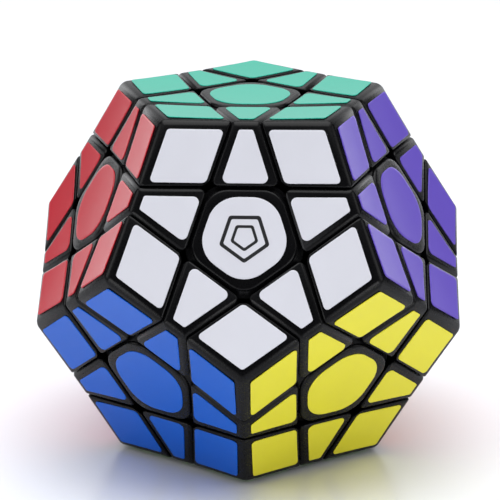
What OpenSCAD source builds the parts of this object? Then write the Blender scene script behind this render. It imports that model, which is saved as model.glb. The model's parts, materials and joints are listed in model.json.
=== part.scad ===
// Twelve-sided face-turning puzzle with dished faces and coloured face tiles.
// Millimetres, +Z up, centre of the core at the origin, white face towards -Y.
// Every cut is a plane square to a face axis or a sphere about the centre, so each face layer
// is a body of revolution where it meets the rest and can turn about its own axis.

/* [Body] */
// Length of one edge of the dodecahedron
edge_len = 36; // [32:0.5:40]
// Depth of a turning layer as a share of the edge length
layer_share = 0.37; // [0.35:0.005:0.385]
// Running gap between neighbouring pieces
gap = 0.3; // [0.2:0.05:0.5]
// Radius of the shallow dish in every face
dish_r = 430; // [300:10:900]
// How far each long edge is blunted, along its bisector
blunt = 0.5; // [0.2:0.1:0.6]
// How far each tip is blunted
tip_blunt = 1.3; // [1:0.1:2]

/* [Hooks] */
// How far a foot reaches under its neighbour's cap
hook = 2.3; // [1.8:0.1:2.6]
// Radius of the ball surface between caps and feet, as a share of the edge length
ball_ratio = 1.02; // [1.015:0.005:1.03]
// Radius of the hollow in an edge piece's foot
foot_bore_r = 4.4; // [3.8:0.1:4.6]

/* [Face tiles] */
// Thickness of a face tile
tile_t = 0.15; // [0.1:0.05:0.25]
// Border between a tile and the long edges of the body
rim_out = 2.1; // [1.8:0.1:2.5]
// Border between a tile and the cuts
rim_in = 1.45; // [1.2:0.05:1.7]
// Rounding of a tile's small corners
tile_r = 0.8; // [0.4:0.1:1]
// Rounding of the tile corners that point at the face centre
tile_inner_r = 1.3; // [0.8:0.1:1.6]

/* [Centre and core] */
// Radius of a centre piece's rounded cap, as a share of the edge length
cap_ratio = 0.3; // [0.29:0.005:0.31]
// Radius of the core's ball
core_r = 9; // [8:0.5:10]
// Radius of a core arm
arm_r = 4; // [3.5:0.1:4.2]
// Height of a core arm's end above the centre
arm_h = 13.7; // [13:0.1:14]
// Outside radius of a centre piece's hollow stem
stem_r = 6; // [5.8:0.1:6.5]
// Radius of the spring chamber in a stem
chamber_r = 4.3; // [4.2:0.1:4.5]
// Radius of the wider hollow over the chamber
well_r = 7.2; // [6:0.1:7.4]
// Radius of a screw's shank
screw_r = 1.5; // [1.3:0.1:1.6]
// Radius of a screw's head
head_r = 3.5; // [3:0.1:3.6]

/* [View] */
// Node to draw, or all

/* [Hidden] */
$fn = 96;
c = gap / 2;
tilt = atan(2);
inr = 1.1135164 * edge_len;
midr = 1.3090170 * edge_len;
circ = 1.4012585 * edge_len;
face_in = 0.6881910 * edge_len;
face_out = 0.8506508 * edge_len;
cut = inr - layer_share * edge_len;
deep = cut - hook;
ball_r = ball_ratio * edge_len;
// distance between a side of the face and the cut line next to it, along the face
strip = (inr - cut) / sin(tilt);
side = strip / sin(72);
dish_z = inr + dish_r - face_out * face_out / (2 * dish_r);
stem_z = arm_h + 0.3;
floor_z = stem_z + 3;
head_z = 27;
washer_t = 0.5;
// how far parts that are one moulding or are glued run into each other
bite = 0.4;
big = 70;
black = [0.035, 0.035, 0.04];

FACES = [
  ["green", 0, 0],
  ["white", tilt, -90],
  ["purple", tilt, -18],
  ["azure", tilt, 54],
  ["cream", tilt, 126],
  ["red", tilt, -162],
  ["yellow", 180 - tilt, -54],
  ["orange", 180 - tilt, 18],
  ["grey", 180 - tilt, 90],
  ["pink", 180 - tilt, 162],
  ["blue", 180 - tilt, -126],
  ["lime", 180, 0]
];
TINTS = [
  [0.22, 0.72, 0.58],
  [0.87, 0.87, 0.90],
  [0.38, 0.28, 0.68],
  [0.42, 0.70, 0.90],
  [0.93, 0.88, 0.66],
  [0.76, 0.22, 0.24],
  [0.86, 0.82, 0.16],
  [0.93, 0.45, 0.12],
  [0.50, 0.51, 0.53],
  [0.92, 0.52, 0.66],
  [0.10, 0.28, 0.70],
  [0.55, 0.80, 0.22]
];
LAST = 11;
IDS = [0 : LAST];

// ---- directions ----
function name(k) = FACES[k][0];
function pol(k) = FACES[k][1];
function azi(k) = FACES[k][2];
function nrm(k) = [sin(pol(k)) * cos(azi(k)), sin(pol(k)) * sin(azi(k)), cos(pol(k))];
function meet(i, j) = i != j && nrm(i) * nrm(j) > 0.4;
// axes in the plane of face k, and the bearing of direction v seen along its axis
function ax(k) = [cos(pol(k)) * cos(azi(k)), cos(pol(k)) * sin(azi(k)), -sin(pol(k))];
function ay(k) = [-sin(azi(k)), cos(azi(k)), 0];
function bearing(k, v) = atan2(v * ay(k), v * ax(k));
function low(k) = k > 5;

RING = [for (k = IDS) [for (j = IDS) if (meet(k, j)) j]];
EDGES = [for (i = IDS) for (j = IDS) if (i < j && meet(i, j)) [i, j]];
CORNERS = [
  for (i = IDS) for (j = IDS) for (k = IDS)
    if (i < j && j < k && meet(i, j) && meet(j, k) && meet(i, k)) [i, j, k]
];
MOVING_EDGES = [for (e = EDGES) if (e[1] != LAST) e];
MOVING_CORNERS = [for (v = CORNERS) if (v[2] != LAST) v];

function centre_name(k) = str("centre_", name(k));
function edge_name(e) = str("edge_", name(e[0]), "_", name(e[1]));
function corner_name(v) = str("corner_", name(v[0]), "_", name(v[1]), "_", name(v[2]));
// the two faces at the ends of edge e
function ends(e) = [for (k = IDS) if (meet(k, e[0]) && meet(k, e[1])) k];

// ---- placing and cutting ----
module along(v) {
  rotate([0, acos(v[2] / norm(v)), atan2(v[1], v[0])]) children();
}

module on_face(k, turn = 0) {
  rotate([0, pol(k), azi(k)]) rotate([0, 0, turn]) children();
}

// the space square to face k between heights lo and hi
module slab(k, lo, hi) {
  on_face(k) translate([-big, -big, lo]) cube([2 * big, 2 * big, hi - lo]);
}

module beyond(v, h) {
  along(v) translate([-20, -20, h]) cube([40, 40, 20]);
}

// the space over the dish of face k, lowered by drop
module dish(k, drop = 0) {
  on_face(k) translate([0, 0, dish_z]) rotate([0, -90, 0]) sphere(r = dish_r - drop, $fn = 360);
}

// a ball about the core, its poles and seam turned away from direction v
module ball(v, r) {
  along(v) rotate([0, 90, 0]) sphere(r = r);
}

// ---- rounded outlines ----
function unit(v) = v / norm(v);
function arc(p, a, b, r, n) =
  let (
    u = unit(a - p),
    v = unit(b - p),
    half = acos(u * v) / 2,
    mid = p + unit(u + v) * r / sin(half),
    s = p + u * r / tan(half) - mid,
    e = p + v * r / tan(half) - mid,
    a0 = atan2(s[1], s[0]),
    da = atan2(s[0] * e[1] - s[1] * e[0], s * e)
  )
  [for (i = [0 : n]) mid + r * [cos(a0 + da * i / n), sin(a0 + da * i / n)]];
function rounded(p, r, n) = [
  for (i = [0 : len(p) - 1])
    for (q = arc(p[i], p[(i + len(p) - 1) % len(p)], p[(i + 1) % len(p)], r[i], n)) q
];

// corner tile: a rhombus with its outer point on +X
function corner_outline() =
  let (
    s = side - (rim_out + rim_in) / sin(72),
    tip = [face_out - rim_out / sin(54), 0],
    back = s * cos(54),
    out = s * sin(54)
  )
  rounded(
    [tip, tip + [-back, out], tip + [-2 * back, 0], tip + [-back, -out]],
    [tile_r, tile_r, tile_inner_r, tile_r],
    4
  );

// edge tile: a trapezium, narrow towards the long edge on +X
function edge_outline() =
  let (
    x1 = face_in - rim_out,
    x0 = face_in - strip + rim_in,
    lim = face_in - strip - rim_in,
    y1 = (lim - x1 * cos(72)) / sin(72),
    y0 = (lim - x0 * cos(72)) / sin(72)
  )
  rounded(
    [[x1, y1], [x0, y0], [x0, -y0], [x1, -y1]],
    [tile_r * 0.6, tile_inner_r, tile_inner_r, tile_r * 0.6],
    4
  );

// centre tile: a pentagon rounded almost to a circle, a flat towards each edge piece
function centre_outline() =
  let (r_in = face_in - strip - rim_in)
  rounded(
    [for (i = [0 : 4]) r_in / cos(36) * [cos(36 + 72 * i), sin(36 + 72 * i)]],
    [for (i = [0 : 4]) r_in * 0.76],
    8
  );

module tile(k, turn, outline) {
  color(TINTS[k]) difference() {
    intersection() {
      on_face(k, turn) translate([0, 0, inr - 3.5]) linear_extrude(5) polygon(outline);
      dish(k, -bite);
    }
    dish(k, tile_t);
  }
}

// ---- corner piece ----
module corner_block(v, h) {
  intersection() {
    slab(v[0], h, inr);
    slab(v[1], h, inr);
    slab(v[2], h, inr);
  }
}

// what layer k's neighbours' caps take away from a foot, outside the ball
module over_foot(k, v) {
  difference() {
    slab(k, deep - 1, cut + c);
    ball(v, ball_r - c);
  }
}

// what a foot in layer k takes away from its neighbours' caps, inside the ball
module under_cap(k, v) {
  intersection() {
    slab(k, deep - c, cut + 1);
    ball(v, ball_r + c);
  }
}

module corner_body(v) {
  tip = nrm(v[0]) + nrm(v[1]) + nrm(v[2]);
  color(black) difference() {
    corner_block(v, deep + c);
    for (k = v) over_foot(k, tip);
    for (k = v) dish(k);
    beyond(nrm(v[0]) + nrm(v[1]), midr - blunt);
    beyond(nrm(v[1]) + nrm(v[2]), midr - blunt);
    beyond(nrm(v[2]) + nrm(v[0]), midr - blunt);
    beyond(tip, circ - tip_blunt);
  }
}

module corner(v) {
  corner_body(v);
  for (k = v) {
    dir = nrm(v[0]) + nrm(v[1]) + nrm(v[2]);
    tile(k, bearing(k, dir), corner_outline());
  }
}

// ---- edge piece ----
module edge_block(e, h, limit) {
  q = ends(e);
  intersection() {
    slab(e[0], h, inr);
    slab(e[1], h, inr);
    slab(q[0], -big, limit);
    slab(q[1], -big, limit);
  }
}

module edge_body(e) {
  mid = nrm(e[0]) + nrm(e[1]);
  color(black) difference() {
    edge_block(e, deep + c, cut - c);
    for (k = e) over_foot(k, mid);
    for (k = ends(e)) under_cap(k, mid);
    for (k = e) dish(k);
    beyond(mid, midr - blunt);
    along(mid) rotate(37) translate([0, 0, deep]) cylinder(r = foot_bore_r, h = ball_r - deep - 2);
    along(mid) rotate(37) translate([0, 0, deep]) cylinder(r = foot_bore_r - 1, h = midr - 6 - deep);
  }
}

module edge(e) {
  edge_body(e);
  tile(e[0], bearing(e[0], nrm(e[1])), edge_outline());
  tile(e[1], bearing(e[1], nrm(e[0])), edge_outline());
}

// ---- centre piece ----
module centre_block(k, z0, limit) {
  n = RING[k];
  intersection() {
    on_face(k) translate([-17, -17, z0]) cube([34, 34, inr - z0]);
    slab(n[0], -big, limit);
    slab(n[1], -big, limit);
    slab(n[2], -big, limit);
    slab(n[3], -big, limit);
    slab(n[4], -big, limit);
  }
}

module centre_body(k) {
  color(black) difference() {
    union() {
      difference() {
        centre_block(k, deep + c, cut - c);
        for (n = RING[k]) under_cap(n, nrm(k));
      }
      on_face(k) translate([0, 0, stem_z]) cylinder(r = stem_r, h = 14);
    }
    on_face(k) translate([0, 0, ball_r - 1]) difference() {
      cylinder(r = 24, h = 10);
      translate([0, 0, -1]) cylinder(r = cap_ratio * edge_len, h = 12);
    }
    dish(k);
    on_face(k) translate([0, 0, floor_z]) cylinder(r = chamber_r, h = ball_r - 1 - floor_z);
    on_face(k) translate([0, 0, head_z - 0.8]) cylinder(r = well_r, h = ball_r - head_z + 0.8);
    on_face(k) translate([0, 0, stem_z - 1]) cylinder(r = screw_r + 0.35, h = 5);
  }
}

module centre(k) {
  centre_body(k);
  tile(k, bearing(k, nrm(RING[k][0])), centre_outline());
}

// ---- core and fasteners ----
module core() {
  color([0.75, 0.75, 0.72]) difference() {
    union() {
      sphere(r = core_r);
      for (k = IDS) on_face(k) translate([0, 0, 7.8]) cylinder(r = arm_r, h = arm_h - 7.8);
    }
    for (k = IDS) on_face(k) translate([0, 0, 7.9]) cylinder(r = screw_r + 0.05, h = 8);
  }
}

module screw() {
  difference() {
    union() {
      translate([0, 0, 8]) cylinder(r = screw_r, h = head_z + 0.5 - 8);
      translate([0, 0, head_z]) cylinder(r = head_r, h = 2);
    }
    translate([-2, -0.4, head_z + 1]) cube([4, 0.8, 2]);
    translate([-0.4, -2, head_z + 1]) cube([0.8, 4, 2]);
  }
}

// coil drawn as a sleeve with rounded rings
module spring() {
  low = floor_z + 0.3;
  long = head_z - washer_t - floor_z - 0.6;
  rotate_extrude() union() {
    translate([2.2, low]) square([0.7, long]);
    for (i = [0 : 6]) translate([2.9, low + 0.7 + i * 1.2]) circle(r = 0.5, $fn = 24);
  }
}

module washer() {
  translate([0, 0, head_z - washer_t]) difference() {
    cylinder(r = head_r + 0.2, h = washer_t - 0.05);
    translate([0, 0, -1]) cylinder(r = screw_r + 0.1, h = 3);
  }
}

module screws() {
  color([0.62, 0.62, 0.64]) for (k = IDS) on_face(k) screw();
}

module springs() {
  color([0.70, 0.70, 0.72]) for (k = IDS) on_face(k) spring();
}

module washers() {
  color([0.66, 0.65, 0.62]) for (k = IDS) on_face(k) washer();
}

// ---- moving nodes: bottom pieces ride with the lower ring, because the lime centre is fixed ----
module centre_node(k) {
  centre(k);
  if (low(k) && k != LAST) edge([k, LAST]);
}

module edge_node(e) {
  edge(e);
  if (low(e[0]) && low(e[1])) corner([e[0], e[1], LAST]);
}

core();
screws();
springs();
washers();
for (k = IDS) centre_node(k);
for (e = MOVING_EDGES) edge_node(e);
for (v = MOVING_CORNERS) corner(v);
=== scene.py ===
# Looks for the twelve-sided face-turning puzzle. Metres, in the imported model's own frame.
import json
import math
import bmesh
import bpy
import numpy as np
from mathutils import Matrix, Vector


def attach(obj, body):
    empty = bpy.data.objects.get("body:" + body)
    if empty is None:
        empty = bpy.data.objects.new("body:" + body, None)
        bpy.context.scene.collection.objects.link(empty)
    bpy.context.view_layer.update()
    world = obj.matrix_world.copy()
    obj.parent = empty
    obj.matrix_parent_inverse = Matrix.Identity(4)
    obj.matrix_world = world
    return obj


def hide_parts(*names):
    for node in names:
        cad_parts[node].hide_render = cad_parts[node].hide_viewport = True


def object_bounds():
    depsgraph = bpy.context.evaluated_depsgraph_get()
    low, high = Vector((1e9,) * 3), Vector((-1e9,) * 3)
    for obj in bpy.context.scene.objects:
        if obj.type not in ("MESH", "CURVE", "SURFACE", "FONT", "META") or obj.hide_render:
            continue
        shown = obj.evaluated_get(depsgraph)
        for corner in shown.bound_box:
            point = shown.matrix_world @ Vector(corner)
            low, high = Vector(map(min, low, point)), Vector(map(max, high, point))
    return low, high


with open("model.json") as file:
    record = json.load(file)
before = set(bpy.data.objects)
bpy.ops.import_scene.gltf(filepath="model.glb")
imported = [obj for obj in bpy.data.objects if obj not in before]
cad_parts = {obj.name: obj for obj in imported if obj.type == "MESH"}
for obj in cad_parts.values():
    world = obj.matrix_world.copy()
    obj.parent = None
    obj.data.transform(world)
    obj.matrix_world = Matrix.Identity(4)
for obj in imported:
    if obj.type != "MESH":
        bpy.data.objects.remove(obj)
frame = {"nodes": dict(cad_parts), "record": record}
cad_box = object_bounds()
MM = 0.001

# ---------------------------------------------------------------- camera
# degrees to the side of the white face and above the floor; metres from the aim; lens in millimetres
CAM_AZIMUTH = 1.9
CAM_ELEVATION = 17.7
CAM_DISTANCE = 0.60
CAM_LENS = 194.4
CAM_AIM = Vector((0.0, 0.0, 0.0035))


def point_camera():
    """A long lens that looks down on the white face from the front."""
    azimuth, elevation = math.radians(CAM_AZIMUTH), math.radians(CAM_ELEVATION)
    level = math.cos(elevation)
    back = Vector((math.sin(azimuth) * level, -math.cos(azimuth) * level, math.sin(elevation)))
    data = bpy.data.cameras.new("camera")
    data.lens = CAM_LENS
    data.sensor_width = 36.0
    data.clip_start, data.clip_end = 0.01, 20.0
    cam = bpy.data.objects.new("camera", data)
    bpy.context.scene.collection.objects.link(cam)
    cam.location = CAM_AIM + back * CAM_DISTANCE
    cam.rotation_mode = "QUATERNION"
    cam.rotation_quaternion = (-back).to_track_quat("-Z", "Y")
    bpy.context.scene.camera = cam


point_camera()

# ---------------------------------------------------------------- the dodecahedron
# All sizes from here to the materials are in millimetres.
EDGE = 36.0
TILT = math.degrees(math.atan(2))
# the solid's inradius, and a face's inner and outer radius
INR = 1.1135164 * EDGE
FACE_IN = 0.6881910 * EDGE
FACE_OUT = 0.8506508 * EDGE
# heights of the cuts through the caps and, under them, through the feet; the ball between caps and feet
CUT = INR - 0.37 * EDGE
DEEP = CUT - 2.3
BALL = 1.02 * EDGE
# each piece keeps this far from a cut
CLEAR = 0.15
# width of the outer ring of a face, and side of its rhombic corners
STRIP = (INR - CUT) / math.sin(math.radians(TILT))
SIDE = STRIP / math.sin(math.radians(72))
# the hollow of each face is part of a sphere
DISH_R = 430.0
DISH_Z = INR + DISH_R - FACE_OUT ** 2 / (2 * DISH_R)
# tiles: thickness, and distance from the face's edge and from a cut
TILE_T = 0.15
RIM_OUT, RIM_IN = 2.1, 1.45
# thickness of the printed mark, and how far a film reaches into what it lies on
INK_T, STICK = 0.012, 0.02
# rounding of a cap's edges, as a width and the share of it that each kind of edge takes
CAP_ROUND = 2.0
ROUND_RIDGE = 0.62
ROUND_RIM = 0.38
ROUND_CORNER_UPRIGHT = 1.1
ROUND_EDGE_UPRIGHT = 1.0
ROUND_EDGE_HIDDEN = 0.15
# the tip of a corner is rounded off a little more over this stretch, by this much at its end
TIP_REACH, TIP_DROP = 2.0, 0.45

# name of each face, and the polar angle and azimuth of its axis
FACES = [
    ("green", 0, 0), ("white", TILT, -90), ("purple", TILT, -18), ("azure", TILT, 54),
    ("cream", TILT, 126), ("red", TILT, -162), ("yellow", 180 - TILT, -54),
    ("orange", 180 - TILT, 18), ("grey", 180 - TILT, 90), ("pink", 180 - TILT, 162),
    ("blue", 180 - TILT, -126), ("lime", 180, 0),
]
NAMES = [f[0] for f in FACES]
BOTTOM = NAMES.index("lime")


def direction(polar, azimuth):
    """The unit vector at two angles in degrees."""
    p, q = math.radians(polar), math.radians(azimuth)
    return np.array([math.sin(p) * math.cos(q), math.sin(p) * math.sin(q), math.cos(p)])


NRM = [direction(p, q) for _, p, q in FACES]


def meet(i, j):
    """Whether two faces share an edge."""
    return i != j and NRM[i] @ NRM[j] > 0.4


EDGES = [(i, j) for i in range(12) for j in range(i + 1, 12) if meet(i, j)]
CORNERS = [
    (i, j, k)
    for i in range(12) for j in range(i + 1, 12) for k in range(j + 1, 12)
    if meet(i, j) and meet(j, k) and meet(i, k)
]


def edge_name(q):
    return f"edge_{NAMES[q[0]]}_{NAMES[q[1]]}"


def corner_name(q):
    return "corner_" + "_".join(NAMES[k] for k in q)


# the body that each CAD node belongs to
BODY = {n: b for b, nodes in frame["record"]["behaviour"]["bodies"].items() for n in nodes}


def node_of(q):
    """The CAD node that a piece is part of: pieces of the bottom layer belong to the faces beside them."""
    if len(q) == 1:
        return "centre_" + NAMES[q[0]]
    if len(q) == 2:
        return "centre_" + NAMES[q[0]] if q[1] == BOTTOM else edge_name(q)
    return edge_name(q[:2]) if q[2] == BOTTOM else corner_name(q)


def body_of(q):
    return BODY[node_of(q)]


def sag_z(rho):
    """Height of a face's dish above the centre, rho from the face's axis."""
    return DISH_Z - np.sqrt(DISH_R ** 2 - np.asarray(rho) ** 2)


# ---------------------------------------------------------------- mesh helpers
def new_mesh(name, verts, faces):
    """A mesh in metres from points in millimetres."""
    me = bpy.data.meshes.new(name)
    me.from_pydata([tuple(float(x) * MM for x in v) for v in verts], [], faces)
    me.update()
    return me


def unit(v):
    return v / np.linalg.norm(v)


def arc(p, q, r, radius, n):
    """Points of the arc that rounds the corner p between q and r."""
    u, v = unit(q - p), unit(r - p)
    half = math.acos(float(np.clip(u @ v, -1, 1))) / 2
    mid = p + unit(u + v) * radius / math.sin(half)
    s = p + u * radius / math.tan(half) - mid
    t = p + v * radius / math.tan(half) - mid
    a0 = math.atan2(s[1], s[0])
    da = math.atan2(s[0] * t[1] - s[1] * t[0], s @ t)
    turns = [a0 + da * i / n for i in range(n + 1)]
    return [mid + radius * np.array([math.cos(a), math.sin(a)]) for a in turns]


def rounded(points, radii, n=8):
    """The outline with each of its corners rounded by its own radius."""
    points = [np.array(p, float) for p in points]
    out = []
    for i, p in enumerate(points):
        out += arc(p, points[i - 1], points[(i + 1) % len(points)], radii[i], n)
    return np.array(out)


def even(points, n):
    """The closed outline resampled to n points at equal spacing."""
    p = np.vstack([points, points[:1]])
    d = np.r_[0, np.cumsum(np.linalg.norm(np.diff(p, axis=0), axis=1))]
    s = np.linspace(0, d[-1], n, endpoint=False)
    return np.c_[np.interp(s, d, p[:, 0]), np.interp(s, d, p[:, 1])]


def inset(points, amount):
    """The outline moved inwards, for small amounts."""
    nxt, prv = np.roll(points, -1, 0), np.roll(points, 1, 0)
    t = nxt - prv
    t /= np.linalg.norm(t, axis=1)[:, None]
    n = np.c_[-t[:, 1], t[:, 0]]
    if (n * (points.mean(0) - points)).sum() < 0:
        n = -n
    return points + n * amount


def loft(name, rings, close=False):
    """A skin over rings of equal point counts; the ends are filled, or joined if close is set."""
    m = len(rings[0])
    verts = np.vstack(rings)
    faces = []
    last = len(rings) if close else len(rings) - 1
    for i in range(last):
        j = (i + 1) % len(rings)
        for k in range(m):
            after = (k + 1) % m
            faces.append((i * m + k, i * m + after, j * m + after, j * m + k))
    if not close:
        faces.append(tuple(range(m))[::-1])
        faces.append(tuple((len(rings) - 1) * m + k for k in range(m)))
    me = new_mesh(name, verts, faces)
    tidy_normals(me)
    return me


def tidy_normals(me):
    """Turns all normals outwards."""
    bm = bmesh.new()
    bm.from_mesh(me)
    bmesh.ops.recalc_face_normals(bm, faces=bm.faces)
    bm.to_mesh(me)
    bm.free()


def smooth(me, angle=35):
    """Smooth shading, except over edges sharper than the angle."""
    for p in me.polygons:
        p.use_smooth = True
    me.set_sharp_from_angle(angle=math.radians(angle))


def half_spaces(name, planes):
    """The convex block of the half-spaces n.x < d."""
    bm = bmesh.new()
    bmesh.ops.create_cube(bm, size=200)
    for n, d in planes:
        n = Vector(n)
        bmesh.ops.bisect_plane(
            bm, geom=bm.verts[:] + bm.edges[:] + bm.faces[:], dist=1e-5,
            plane_co=n * d, plane_no=n, clear_outer=True,
        )
        rim = [q for q in bm.edges if q.is_boundary]
        if rim:
            bmesh.ops.holes_fill(bm, edges=rim)
    bmesh.ops.recalc_face_normals(bm, faces=bm.faces)
    me = bpy.data.meshes.new(name)
    bm.to_mesh(me)
    bm.free()
    return me


def bevelled(me, weight, width, segments=4):
    """Rounds each edge by width times weight, a function of the normals and distances of its two faces."""
    bm = bmesh.new()
    bm.from_mesh(me)
    layer = bm.edges.layers.float.new("bevel_weight_edge")
    for q in bm.edges:
        f, g = q.link_faces
        pf, pg = np.array(f.normal), np.array(g.normal)
        q[layer] = weight(pf, float(pf @ np.array(f.verts[0].co)), pg, float(pg @ np.array(g.verts[0].co)))
    bm.to_mesh(me)
    bm.free()
    o = bpy.data.objects.new("scratch", me)
    bpy.context.scene.collection.objects.link(o)
    mod = o.modifiers.new("bevel", "BEVEL")
    mod.limit_method = "WEIGHT"
    mod.width = width
    mod.segments = segments
    mod.use_clamp_overlap = True
    dg = bpy.context.evaluated_depsgraph_get()
    out = bpy.data.meshes.new_from_object(o.evaluated_get(dg))
    bpy.data.objects.remove(o)
    return out


def lower_tip(me, axis, reach, drop):
    """Rounds off the end of the mesh along an axis, more and more over the last stretch."""
    co = np.empty(len(me.vertices) * 3)
    me.vertices.foreach_get("co", co)
    co = co.reshape(-1, 3)
    h = co @ axis
    t = np.maximum(h - (h.max() - reach), 0)
    co -= (drop * (t / reach) ** 2)[:, None] * axis
    me.vertices.foreach_set("co", co.ravel())
    me.update()
    return me


# the dish pulls on points that are less than this far under the flat face, in full after the second length
SETTLE_FROM, SETTLE_OVER = 5, 3


def moves(drops, normals):
    """The moves that lower points by the drops along three normals."""
    return -np.linalg.solve(np.array(normals), np.array(drops)).T


def settle(me, faces, sides=()):
    """Lowers the outer faces onto the dishes, leaves the cuts in their planes, and scales to metres."""
    co = np.empty(len(me.vertices) * 3)
    me.vertices.foreach_get("co", co)
    co = co.reshape(-1, 3)
    weight, sink = {}, np.zeros_like(co)
    for k in faces:
        height = co @ NRM[k]
        rho = np.linalg.norm(co - height[:, None] * NRM[k], axis=1)
        w = np.clip((height - (INR - SETTLE_FROM)) / SETTLE_OVER, 0, 1)
        weight[k] = w * w * (3 - 2 * w)
        sink += (np.maximum(INR - sag_z(np.minimum(rho, FACE_OUT)), 0) * weight[k])[:, None] * NRM[k]
    drops = [(sink @ NRM[k]) * weight[k] for k in faces]
    normals = [NRM[k] for k in faces]
    if len(faces) == 3:
        co += moves(drops, normals)
    elif len(faces) == 2:
        along = unit(np.cross(*normals))
        drops.append(np.zeros(len(co)))
        middle = moves(drops, normals + [along])
        t = co @ along
        shift = middle.copy()
        for k in sides:
            slope = float(NRM[k] @ along)
            reach = (CUT - CLEAR - (co - t[:, None] * along) @ NRM[k]) / slope
            part = np.clip(t / reach, 0, 1)[:, None]
            shift += (moves(drops, normals + [NRM[k]]) - middle) * part
        co += shift
    co = co * MM
    me.vertices.foreach_set("co", co.ravel())
    me.update()
    smooth(me, 40)
    return me


# ---------------------------------------------------------------- piece meshes, each made once
CORNER0 = (0, 1, 2)
EDGE0 = (0, 1)


def kind(n, d, own):
    """Whether the plane n.x = d is the outside of one of the faces own, or a cut."""
    for k in own:
        if abs(abs(n @ NRM[k]) - 1) < 1e-4:
            return "out" if d > INR - 1 else "cut"
    return "cut"


def corner_weight(na, da, nb, db):
    """How much a corner cap's edge is rounded, from its two faces' normals and distances."""
    p, q = kind(na, da, CORNER0), kind(nb, db, CORNER0)
    if p == q == "out":
        return ROUND_RIDGE
    return ROUND_RIM if "out" in (p, q) else ROUND_CORNER_UPRIGHT


def all_alike(*faces):
    """The same rounding on each edge."""
    return 1.0


def corner_cap_mesh():
    """What shows of a corner piece: three outer faces, three cuts."""
    planes = [(NRM[k], INR) for k in CORNER0] + [(-NRM[k], -(CUT + CLEAR)) for k in CORNER0]
    me = half_spaces("corner_cap", planes)
    me = bevelled(me, corner_weight, CAP_ROUND, 5)
    me = lower_tip(me, unit(sum(NRM[k] for k in CORNER0)), TIP_REACH, TIP_DROP)
    return settle(me, CORNER0)


def corner_foot_mesh():
    """The hook under a corner's cap."""
    axis = unit(sum(NRM[k] for k in CORNER0))
    top = BALL - 1.9
    planes = [(-NRM[k], -(DEEP + CLEAR)) for k in CORNER0] + [(axis, top)]
    me = half_spaces("corner_foot", planes)
    return settle(bevelled(me, all_alike, 0.5, 2), ())


def ends(q):
    """The faces at the two ends of the edge between two faces."""
    return [k for k in range(12) if meet(k, q[0]) and meet(k, q[1])]


def edge_weight(na, da, nb, db):
    """How much an edge cap's edge is rounded; the uprights at its ends more than what is hidden."""
    p, q = kind(na, da, EDGE0), kind(nb, db, EDGE0)
    if p == q == "out":
        return ROUND_RIDGE
    if "out" in (p, q):
        return ROUND_RIM
    at_end = sum(any(abs(n @ NRM[k]) > 0.999 for k in ends(EDGE0)) for n in (na, nb))
    return ROUND_EDGE_UPRIGHT if at_end == 1 else ROUND_EDGE_HIDDEN


def edge_cap_mesh():
    """What shows of an edge piece: two outer faces, two cuts below and two at its ends."""
    axis = unit(NRM[0] + NRM[1])
    planes = [(NRM[k], INR) for k in EDGE0] + [(-NRM[k], -(CUT + CLEAR)) for k in EDGE0]
    planes += [(NRM[k], CUT - CLEAR) for k in ends(EDGE0)] + [(-axis, -(BALL + CLEAR))]
    me = half_spaces("edge_cap", planes)
    return settle(bevelled(me, edge_weight, CAP_ROUND, 5), EDGE0, ends(EDGE0))


def edge_foot_mesh():
    """The hook under an edge's cap, and the neck that joins them."""
    axis = unit(NRM[0] + NRM[1])
    foot_top, neck_low, neck_top = BALL - 2.2, BALL - 2.6, BALL + 1.0
    end_planes = [(NRM[k], DEEP - CLEAR) for k in ends(EDGE0)]
    planes = [(-NRM[k], -(DEEP + CLEAR)) for k in EDGE0] + end_planes
    foot = half_spaces("edge_foot", planes + [(axis, foot_top)])
    planes = [(-NRM[k], -(CUT + CLEAR)) for k in EDGE0] + end_planes
    neck = half_spaces("edge_neck", planes + [(axis, neck_top), (-axis, -neck_low)])
    bm = bmesh.new()
    for part in (foot, neck):
        bm.from_mesh(bevelled(part, all_alike, 0.4, 2))
    me = bpy.data.meshes.new("edge_foot_joined")
    bm.to_mesh(me)
    bm.free()
    return settle(me, ())


def pentagon(r_in, radius, n=80):
    """A rounded pentagon of a given inradius, a side square to +X."""
    r_out = r_in / math.cos(math.radians(36))
    turns = [math.radians(36 + 72 * i) for i in range(5)]
    pts = [(r_out * math.cos(a), r_out * math.sin(a)) for a in turns]
    return even(rounded(pts, [radius] * 5, 12), n)


def lean(z, limit):
    """Inradius at height z of the five leaning cuts round a centre, which are limit away from the origin."""
    return (limit - z * math.cos(math.radians(TILT))) / math.sin(math.radians(TILT))


def on_dish(outline, lift):
    """The flat outline laid on a face's dish, raised by lift."""
    rho = np.linalg.norm(outline, axis=1)
    return np.c_[outline, sag_z(rho) + lift]


def at(outline, z):
    """The flat outline at height z."""
    return np.c_[outline, np.full(len(outline), z)]


def centre_cap_mesh():
    """The cap of a centre: five leaning walls, a rounded rim, the dish on top."""
    corner, bottom_round, rim = 5.2, 0.4, 0.8
    low, top = BALL + CLEAR + 0.05, sag_z(10.0)
    wall_low = pentagon(lean(low, CUT - CLEAR), corner)
    wall_top = pentagon(lean(top, CUT - CLEAR), corner)
    rings = [at(wall_low * 0.3, low), at(inset(wall_low, bottom_round), low)]
    rings.append(at(wall_low, low + bottom_round))
    for t in (0.8, 0.45, 0.2, 0.05, 0.0):
        f = (rim - t) / rim
        drop = rim - math.sqrt(max(0.0, rim ** 2 - (rim * f) ** 2))
        rings.append(on_dish(inset(wall_top, drop * 0.8), -t))
    for s in (0.8, 0.55, 0.3, 0.08):
        rings.append(on_dish(wall_top * s, 0.0))
    me = loft("centre_cap", rings)
    smooth(me)
    return me


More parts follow.
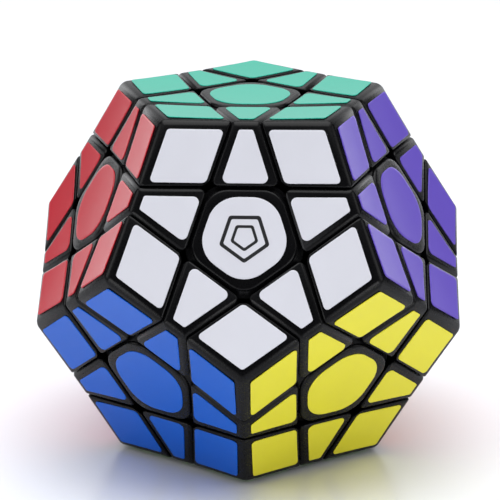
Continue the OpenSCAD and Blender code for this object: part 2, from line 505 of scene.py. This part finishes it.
def centre_stem_mesh():
    """The stem that turns on a core arm: tube, five-sided collar, and the chamber for spring and screw."""
    low, top = DEEP + CLEAR, BALL - 0.4
    foot_z, chamber_z, rim_z = 14.0, 17.0, 26.2
    tube_r, bore_r, chamber_r, well_r = 6.0, 1.9, 4.3, 7.2
    n = 80
    t = np.arange(n) * 2 * math.pi / n

    def circle(r, z):
        return np.c_[r * np.cos(t), r * np.sin(t), np.full(n, z)]

    def pent(z, back_off=0.0):
        p = pentagon(lean(z, DEEP - CLEAR) - back_off, 4.0, 720)
        ang = np.arctan2(p[:, 1], p[:, 0]) % (2 * math.pi)
        rad = np.linalg.norm(p, axis=1)
        order = np.argsort(ang)
        r = np.interp(t, ang[order], rad[order], period=2 * math.pi)
        return np.c_[r * np.cos(t), r * np.sin(t), np.full(n, z)]

    rings = [
        circle(bore_r, foot_z), circle(tube_r - 0.4, foot_z),
        circle(tube_r, foot_z + 0.4), circle(tube_r, low),
        pent(low, 0.5), pent(low + 0.5), pent(top - 0.4), pent(top, 0.4),
        circle(well_r, top), circle(well_r, rim_z + 0.1), circle(chamber_r, rim_z),
        circle(chamber_r, chamber_z), circle(bore_r, chamber_z),
    ]
    me = loft("centre_stem", rings, close=True)
    smooth(me)
    return me


def tile_mesh(name, outline, n):
    """A thin film over an outline, following the dish, its rim slightly rounded."""
    p = even(outline, n)
    mid = p.mean(0)
    top = inset(p, 0.13)
    rings = [on_dish(p, -STICK), on_dish(p, TILE_T * 0.55), on_dish(inset(p, 0.05), TILE_T * 0.9)]
    rings.append(on_dish(top, TILE_T))
    for s in (0.94, 0.8, 0.6, 0.4, 0.2, 0.05):
        rings.append(on_dish(mid + (top - mid) * s, TILE_T))
    me = loft(name, rings)
    smooth(me, 60)
    return me


def corner_tile_mesh():
    """The rhombic film of a corner piece."""
    s = SIDE - (RIM_OUT + RIM_IN) / math.sin(math.radians(72))
    x = FACE_OUT - RIM_OUT / math.sin(math.radians(54))
    bx, by = s * math.cos(math.radians(54)), s * math.sin(math.radians(54))
    pts = [(x, 0), (x - bx, by), (x - 2 * bx, 0), (x - bx, -by)]
    return tile_mesh("corner_tile", rounded(pts, [0.8, 0.8, 1.3, 0.8]), 144)


def edge_tile_mesh():
    """The film of an edge piece, a trapezium."""
    x1, x0 = FACE_IN - RIM_OUT, FACE_IN - STRIP + RIM_IN
    lim = FACE_IN - STRIP - RIM_IN
    c72, s72 = math.cos(math.radians(72)), math.sin(math.radians(72))
    y1, y0 = (lim - x1 * c72) / s72, (lim - x0 * c72) / s72
    pts = [(x1, y1), (x0, y0), (x0, -y0), (x1, -y1)]
    return tile_mesh("edge_tile", rounded(pts, [0.5, 1.2, 1.2, 0.5]), 144)


def centre_tile_mesh():
    """The nearly round film of a centre piece."""
    r = FACE_IN - STRIP - RIM_IN
    return tile_mesh("centre_tile", pentagon(r, r * 0.76, 160), 120)


def mark_mesh():
    """A plain printed mark: two five-sided rings, one in the other."""
    bm = bmesh.new()
    for r, w in ((4.5, 0.75), (2.5, 0.6)):
        outer = pentagon(r, 0.6)
        inner = pentagon(r - w, 0.35)
        low, high = TILE_T - STICK, TILE_T + INK_T
        rings = [on_dish(outer, low), on_dish(outer, high), on_dish(inner, high), on_dish(inner, low)]
        bm.from_mesh(loft("ring", rings, close=True))
    me = bpy.data.meshes.new("mark")
    bm.to_mesh(me)
    bm.free()
    smooth(me)
    return me


def spring_mesh():
    """A coil of round wire, its end turns closer together than the middle ones."""
    turns, wire, r, z0, z1 = 6.0, 0.42, 2.95, 17.8, 25.9
    n, m = 190, 10
    rings = []
    for i in range(n + 1):
        t = i / n
        q = 2 * math.pi * turns * t
        ease = t - 0.06 * math.sin(2 * math.pi * t)
        p = np.array([r * math.cos(q), r * math.sin(q), z0 + (z1 - z0) * ease])
        tan = unit(np.array([-math.sin(q), math.cos(q), (z1 - z0) / (2 * math.pi * turns * r)]))
        out = np.array([math.cos(q), math.sin(q), 0.0])
        up = np.cross(tan, out)
        rings.append(np.array([p + wire * (math.cos(k) * out + math.sin(k) * up)
                               for k in np.arange(m) * 2 * math.pi / m]))
    me = loft("spring", rings)
    smooth(me, 60)
    return me


# ---------------------------------------------------------------- materials
def grid(nodes, node_type, x, y, **settings):
    """A new shader node at a place in the editor's grid."""
    n = nodes.new(node_type)
    n.location = (x, y)
    for k, v in settings.items():
        setattr(n, k, v)
    return n


def noise(nt, vector, scale, detail, y):
    """A noise texture over a vector."""
    n = grid(nt.nodes, "ShaderNodeTexNoise", -320, y)
    n.inputs["Scale"].default_value = scale
    n.inputs["Detail"].default_value = detail
    nt.links.new(vector, n.inputs["Vector"])
    return n.outputs["Fac"]


def spread_vector(nt, streak):
    """Object coordinates, moved by a different amount on each piece, then stretched."""
    coords = grid(nt.nodes, "ShaderNodeTexCoord", -900, 0)
    info = grid(nt.nodes, "ShaderNodeObjectInfo", -900, -300)
    move = grid(nt.nodes, "ShaderNodeVectorMath", -700, 0, operation="ADD")
    nt.links.new(coords.outputs["Object"], move.inputs[0])
    nt.links.new(info.outputs["Random"], move.inputs[1])
    stretch = grid(nt.nodes, "ShaderNodeMapping", -520, 0)
    stretch.inputs["Scale"].default_value = streak
    nt.links.new(move.outputs[0], stretch.inputs["Vector"])
    return stretch.outputs[0]


def patches(nt, vector, colour, spread):
    """The colour, a little darker and lighter in patches."""
    ramp = grid(nt.nodes, "ShaderNodeValToRGB", -100, 200)
    for stop, position, factor in zip(ramp.color_ramp.elements, (0.3, 0.7), (1 - spread, 1 + spread)):
        stop.position = position
        stop.color = (*[min(1, x * factor) for x in colour], 1)
    nt.links.new(noise(nt, vector, 60.0, 3.0, 200), ramp.inputs[0])
    return ramp.outputs[0]


def painted_edge_highlight(nt, colour, edge_highlight):
    """The colour, turning to a given lighter one where the surface is sharply curved outwards: a painted
    highlight along rounded edges.
    """
    geo = grid(nt.nodes, "ShaderNodeNewGeometry", -320, 450)
    edge = grid(nt.nodes, "ShaderNodeMapRange", -100, 450)
    edge.inputs["From Min"].default_value = 0.54
    edge.inputs["From Max"].default_value = 0.70
    nt.links.new(geo.outputs["Pointiness"], edge.inputs["Value"])
    mix = grid(nt.nodes, "ShaderNodeMix", 200, 300, data_type="RGBA")
    mix.inputs["B"].default_value = (*edge_highlight, 1)
    nt.links.new(edge.outputs[0], mix.inputs["Factor"])
    nt.links.new(colour, mix.inputs["A"])
    return mix.outputs["Result"]


def uneven_gloss(nt, grain, rough):
    """A roughness that follows the grain, near the stated one."""
    gloss = grid(nt.nodes, "ShaderNodeMapRange", 200, -100)
    gloss.inputs["From Min"].default_value = 0.3
    gloss.inputs["From Max"].default_value = 0.7
    gloss.inputs["To Min"].default_value = rough * 0.93
    gloss.inputs["To Max"].default_value = rough * 1.08
    nt.links.new(grain, gloss.inputs["Value"])
    return gloss.outputs[0]


def grain_bump(nt, grain, strength):
    """The normal of a surface with a fine moulded grain."""
    bump = grid(nt.nodes, "ShaderNodeBump", 200, -350)
    bump.inputs["Strength"].default_value = strength
    bump.inputs["Distance"].default_value = 0.0002
    nt.links.new(grain, bump.inputs["Height"])
    return bump.outputs[0]


def moulded(name, colour, rough, metallic=0.0, spread=0.08, grain=900.0, bump=0.02,
            specular=0.5, streak=(1.0, 1.0, 1.0), edge_highlight=None):
    """A plastic, film or metal with fine grain in gloss and height, faint patches, and a painted highlight
    on sharp edges if set.
    """
    mat = bpy.data.materials.new(name)
    mat.use_nodes = True
    mat.diffuse_color = (*colour, 1)
    nt = mat.node_tree
    nt.nodes.clear()
    out = grid(nt.nodes, "ShaderNodeOutputMaterial", 900, 0)
    shader = grid(nt.nodes, "ShaderNodeBsdfPrincipled", 600, 0)
    nt.links.new(shader.outputs[0], out.inputs[0])
    shader.inputs["Metallic"].default_value = metallic
    shader.inputs["Specular IOR Level"].default_value = specular
    vector = spread_vector(nt, streak)
    fine = noise(nt, vector, grain, 4.0, -100)
    base = patches(nt, vector, colour, spread)
    # painted highlight: a lighter colour along sharply curved edges
    if edge_highlight is not None:
        base = painted_edge_highlight(nt, base, edge_highlight)
    nt.links.new(base, shader.inputs["Base Color"])
    nt.links.new(uneven_gloss(nt, fine, rough), shader.inputs["Roughness"])
    nt.links.new(grain_bump(nt, fine, bump), shader.inputs["Normal"])
    return mat


# the black caps get a painted highlight, a lighter grey along their sharply rounded edges
BLACK = moulded("black_plastic", (0.0025, 0.0025, 0.003), 0.28, grain=2200, bump=0.03, spread=0.12,
                specular=0.16, edge_highlight=(0.03, 0.03, 0.032))
FOOT = moulded("black_foot_plastic", (0.004, 0.004, 0.0045), 0.45, grain=900, bump=0.12, specular=0.2)
CORE = moulded("core_plastic", (0.62, 0.62, 0.58), 0.5, grain=800, bump=0.12)
STEEL = moulded("zinc_steel", (0.60, 0.60, 0.63), 0.32, metallic=1.0, grain=600, bump=0.05)
WIRE = moulded("spring_wire", (0.66, 0.66, 0.68), 0.25, metallic=1.0, grain=500, bump=0.04,
               streak=(1, 1, 6))
STAMPED = moulded("stamped_steel", (0.58, 0.57, 0.54), 0.38, metallic=1.0, grain=700, bump=0.05)
INK = moulded("mark_ink", (0.012, 0.012, 0.014), 0.4, grain=1200, bump=0.05)

TINTS = {
    "green": (0.02, 0.42, 0.30), "white": (0.67, 0.675, 0.735), "purple": (0.13, 0.08, 0.50),
    "azure": (0.16, 0.50, 0.80), "cream": (0.86, 0.76, 0.48), "red": (0.49, 0.022, 0.036),
    "yellow": (0.80, 0.735, 0.035), "orange": (0.84, 0.20, 0.03), "grey": (0.24, 0.25, 0.27),
    "pink": (0.82, 0.24, 0.38), "blue": (0.0005, 0.105, 0.57), "lime": (0.26, 0.62, 0.06),
}
FILM = {k: moulded(f"film_{k}", v, 0.20, spread=0.02, grain=1600, bump=0.006, specular=0.3)
        for k, v in TINTS.items()}

# ---------------------------------------------------------------- placing
MESH = {
    "corner_cap": corner_cap_mesh(), "corner_foot": corner_foot_mesh(),
    "edge_cap": edge_cap_mesh(), "edge_foot": edge_foot_mesh(),
    "centre_cap": centre_cap_mesh(), "centre_stem": centre_stem_mesh(),
    "corner_tile": corner_tile_mesh(), "edge_tile": edge_tile_mesh(), "centre_tile": centre_tile_mesh(),
    "mark": mark_mesh(), "spring": spring_mesh(),
}


def place(name, mesh, mat, rot, body):
    """A copy of one of the meshes, turned into its place in the frame, so that its box is true there."""
    me = MESH[mesh].copy()
    me.name = name
    me.transform(Matrix([[float(x) for x in row] for row in rot]).to_4x4())
    me.materials.clear()
    me.materials.append(mat)
    o = bpy.data.objects.new(name, me)
    bpy.context.scene.collection.objects.link(o)
    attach(o, body)
    return o


def triad(p, q, r):
    """The matrix with three directions as its columns."""
    return np.column_stack([p, q, r])


def face_turn(k, toward):
    """The turn that takes +Z to face k's axis and +X towards a direction."""
    z = NRM[k]
    x = unit(toward - (toward @ z) * z)
    return triad(x, np.cross(z, x), z)


def corner_order(q):
    """The three faces of a corner, going round it the same way as those of CORNER0."""
    i, j, k = q
    ref = np.linalg.det(triad(*[NRM[n] for n in CORNER0]))
    return (i, j, k) if np.linalg.det(triad(NRM[i], NRM[j], NRM[k])) * ref > 0 else (i, k, j)


def place_black(q, name, cap_mesh, under, under_mesh, rot):
    """A piece's cap, which stands for its CAD node, and what is under it: a foot or a stem."""
    cap = place(name + "_cap", cap_mesh, BLACK, rot, body_of(q))
    lower = place(f"{name}_{under}", under_mesh, FOOT, rot, body_of(q))
    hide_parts(node_of(q))


def place_corner(q):
    """A corner piece with its three tiles."""
    rot = triad(*[NRM[k] for k in corner_order(q)]) @ np.linalg.inv(triad(*[NRM[k] for k in CORNER0]))
    place_black(q, corner_name(q), "corner_cap", "foot", "corner_foot", rot)
    tip = sum(NRM[k] for k in q)
    for k in q:
        name = f"{corner_name(q)}_tile_{NAMES[k]}"
        place(name, "corner_tile", FILM[NAMES[k]], face_turn(k, tip), body_of(q))


def edge_frame(i, j):
    """The directions that an edge piece between two faces is turned by."""
    return triad(NRM[i], NRM[j], np.cross(NRM[i], NRM[j]))


def place_edge(q):
    """An edge piece with its two tiles."""
    rot = edge_frame(*q) @ np.linalg.inv(edge_frame(*EDGE0))
    place_black(q, edge_name(q), "edge_cap", "foot", "edge_foot", rot)
    for k, other in (q, q[::-1]):
        name = f"{edge_name(q)}_tile_{NAMES[k]}"
        place(name, "edge_tile", FILM[NAMES[k]], face_turn(k, NRM[other]), body_of(q))


def place_centre(k):
    """A centre piece with its tile and spring, and the mark on the white one."""
    q = (k,)
    first_neighbour = [j for j in range(12) if meet(k, j)][0]
    rot = face_turn(k, NRM[first_neighbour])
    name = "centre_" + NAMES[k]
    place_black(q, name, "centre_cap", "stem", "centre_stem", rot)
    place(name + "_tile", "centre_tile", FILM[NAMES[k]], rot, body_of(q))
    coil = place("spring_" + NAMES[k], "spring", WIRE, rot, "core")
    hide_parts("springs")
    if NAMES[k] == "white":
        place("centre_white_mark", "mark", INK, face_turn(k, NRM[0]), body_of(q))


for q in CORNERS:
    place_corner(q)
for q in EDGES:
    place_edge(q)
for k in range(12):
    place_centre(k)
for node, mat in (("core", CORE), ("screws", STEEL), ("washers", STAMPED)):
    for material_slot in frame["nodes"][node].material_slots:
        material_slot.material = mat

# ---------------------------------------------------------------- floor, lights (metres from here)
FLOOR_HALF = 3.0
FLOOR_GAP = 0.0002


def lay_floor():
    """Glossy white paper, just under the lowest point of the CAD model."""
    bm = bmesh.new()
    bmesh.ops.create_grid(bm, x_segments=8, y_segments=8, size=FLOOR_HALF)
    me = bpy.data.meshes.new("floor")
    bm.to_mesh(me)
    bm.free()
    floor = bpy.data.objects.new("floor", me)
    floor.location = (0, 0, cad_box[0][2] - FLOOR_GAP)
    bpy.context.scene.collection.objects.link(floor)
    me.materials.append(moulded("floor_paper", (0.91, 0.92, 0.96), 0.22, spread=0.004, grain=90, bump=0.0))


lay_floor()


def softbox(name, spot, size, power):
    """A white rectangular light that points at the middle of the puzzle."""
    d = bpy.data.lights.new(name, "AREA")
    d.shape = "RECTANGLE"
    d.size, d.size_y = size
    d.energy = power
    o = bpy.data.objects.new(name, d)
    bpy.context.scene.collection.objects.link(o)
    o.location = spot
    o.rotation_mode = "QUATERNION"
    o.rotation_quaternion = (-Vector(spot)).to_track_quat("-Z", "Y")


softbox("key_top", (0.0, 0.10, 0.95), (1.1, 1.1), 9.2)
softbox("side_left", (-0.95, -0.10, 0.45), (0.5, 0.6), 2.0)
softbox("side_right", (0.95, -0.10, 0.45), (0.5, 0.6), 1.7)
softbox("fill_left", (-0.62, -0.76, 0.08), (0.5, 0.2), 1.8)
softbox("fill_right", (0.62, -0.76, 0.08), (0.5, 0.2), 1.9)

world = bpy.data.worlds.new("studio")
bpy.context.scene.world = world
world.use_nodes = True
wn = world.node_tree


def combine(operation, first, second, x, y):
    """A maths node over two sockets, or over a socket and a number."""
    n = grid(wn.nodes, "ShaderNodeMath", x, y, operation=operation)
    for value, end in ((first, n.inputs[0]), (second, n.inputs[1])):
        if isinstance(value, (int, float)):
            end.default_value = value
        else:
            wn.links.new(value, end)
    return n.outputs[0]


def ramp_of(value, lo, hi, amount, x, y):
    """Rises smoothly from 0 to amount while value goes from lo to hi."""
    r = grid(wn.nodes, "ShaderNodeMapRange", x, y, interpolation_type="SMOOTHSTEP")
    r.inputs["From Min"].default_value = lo
    r.inputs["From Max"].default_value = hi
    r.inputs["To Max"].default_value = amount
    wn.links.new(value, r.inputs["Value"])
    return r.outputs[0]


def light_world():
    """A studio that is bright overhead and at the back, brightest on either side of the back."""
    ray = grid(wn.nodes, "ShaderNodeTexCoord", -1100, 0)
    split = grid(wn.nodes, "ShaderNodeSeparateXYZ", -900, 0)
    wn.links.new(ray.outputs["Generated"], split.inputs[0])
    aside = combine("ABSOLUTE", split.outputs["X"], 0.0, -700, 200)
    over = ramp_of(split.outputs["Z"], 0.62, 0.98, 1.2, -700, 0)
    behind = ramp_of(split.outputs["Y"], 0.75, 0.86, 1.0, -700, -200)
    flank = ramp_of(aside, 0.30, 0.52, 2.4, -500, 200)
    glow = combine("MULTIPLY", behind, combine("ADD", flank, 0.8, -300, 200), -100, 0)
    strength = combine("ADD", combine("ADD", over, glow, 100, 0), 0.03, 300, 0)
    background = wn.nodes["Background"]
    background.inputs["Color"].default_value = (0.97, 0.98, 1.0, 1)
    wn.links.new(strength, background.inputs["Strength"])


light_world()
bpy.context.scene.view_settings.view_transform = "Standard"
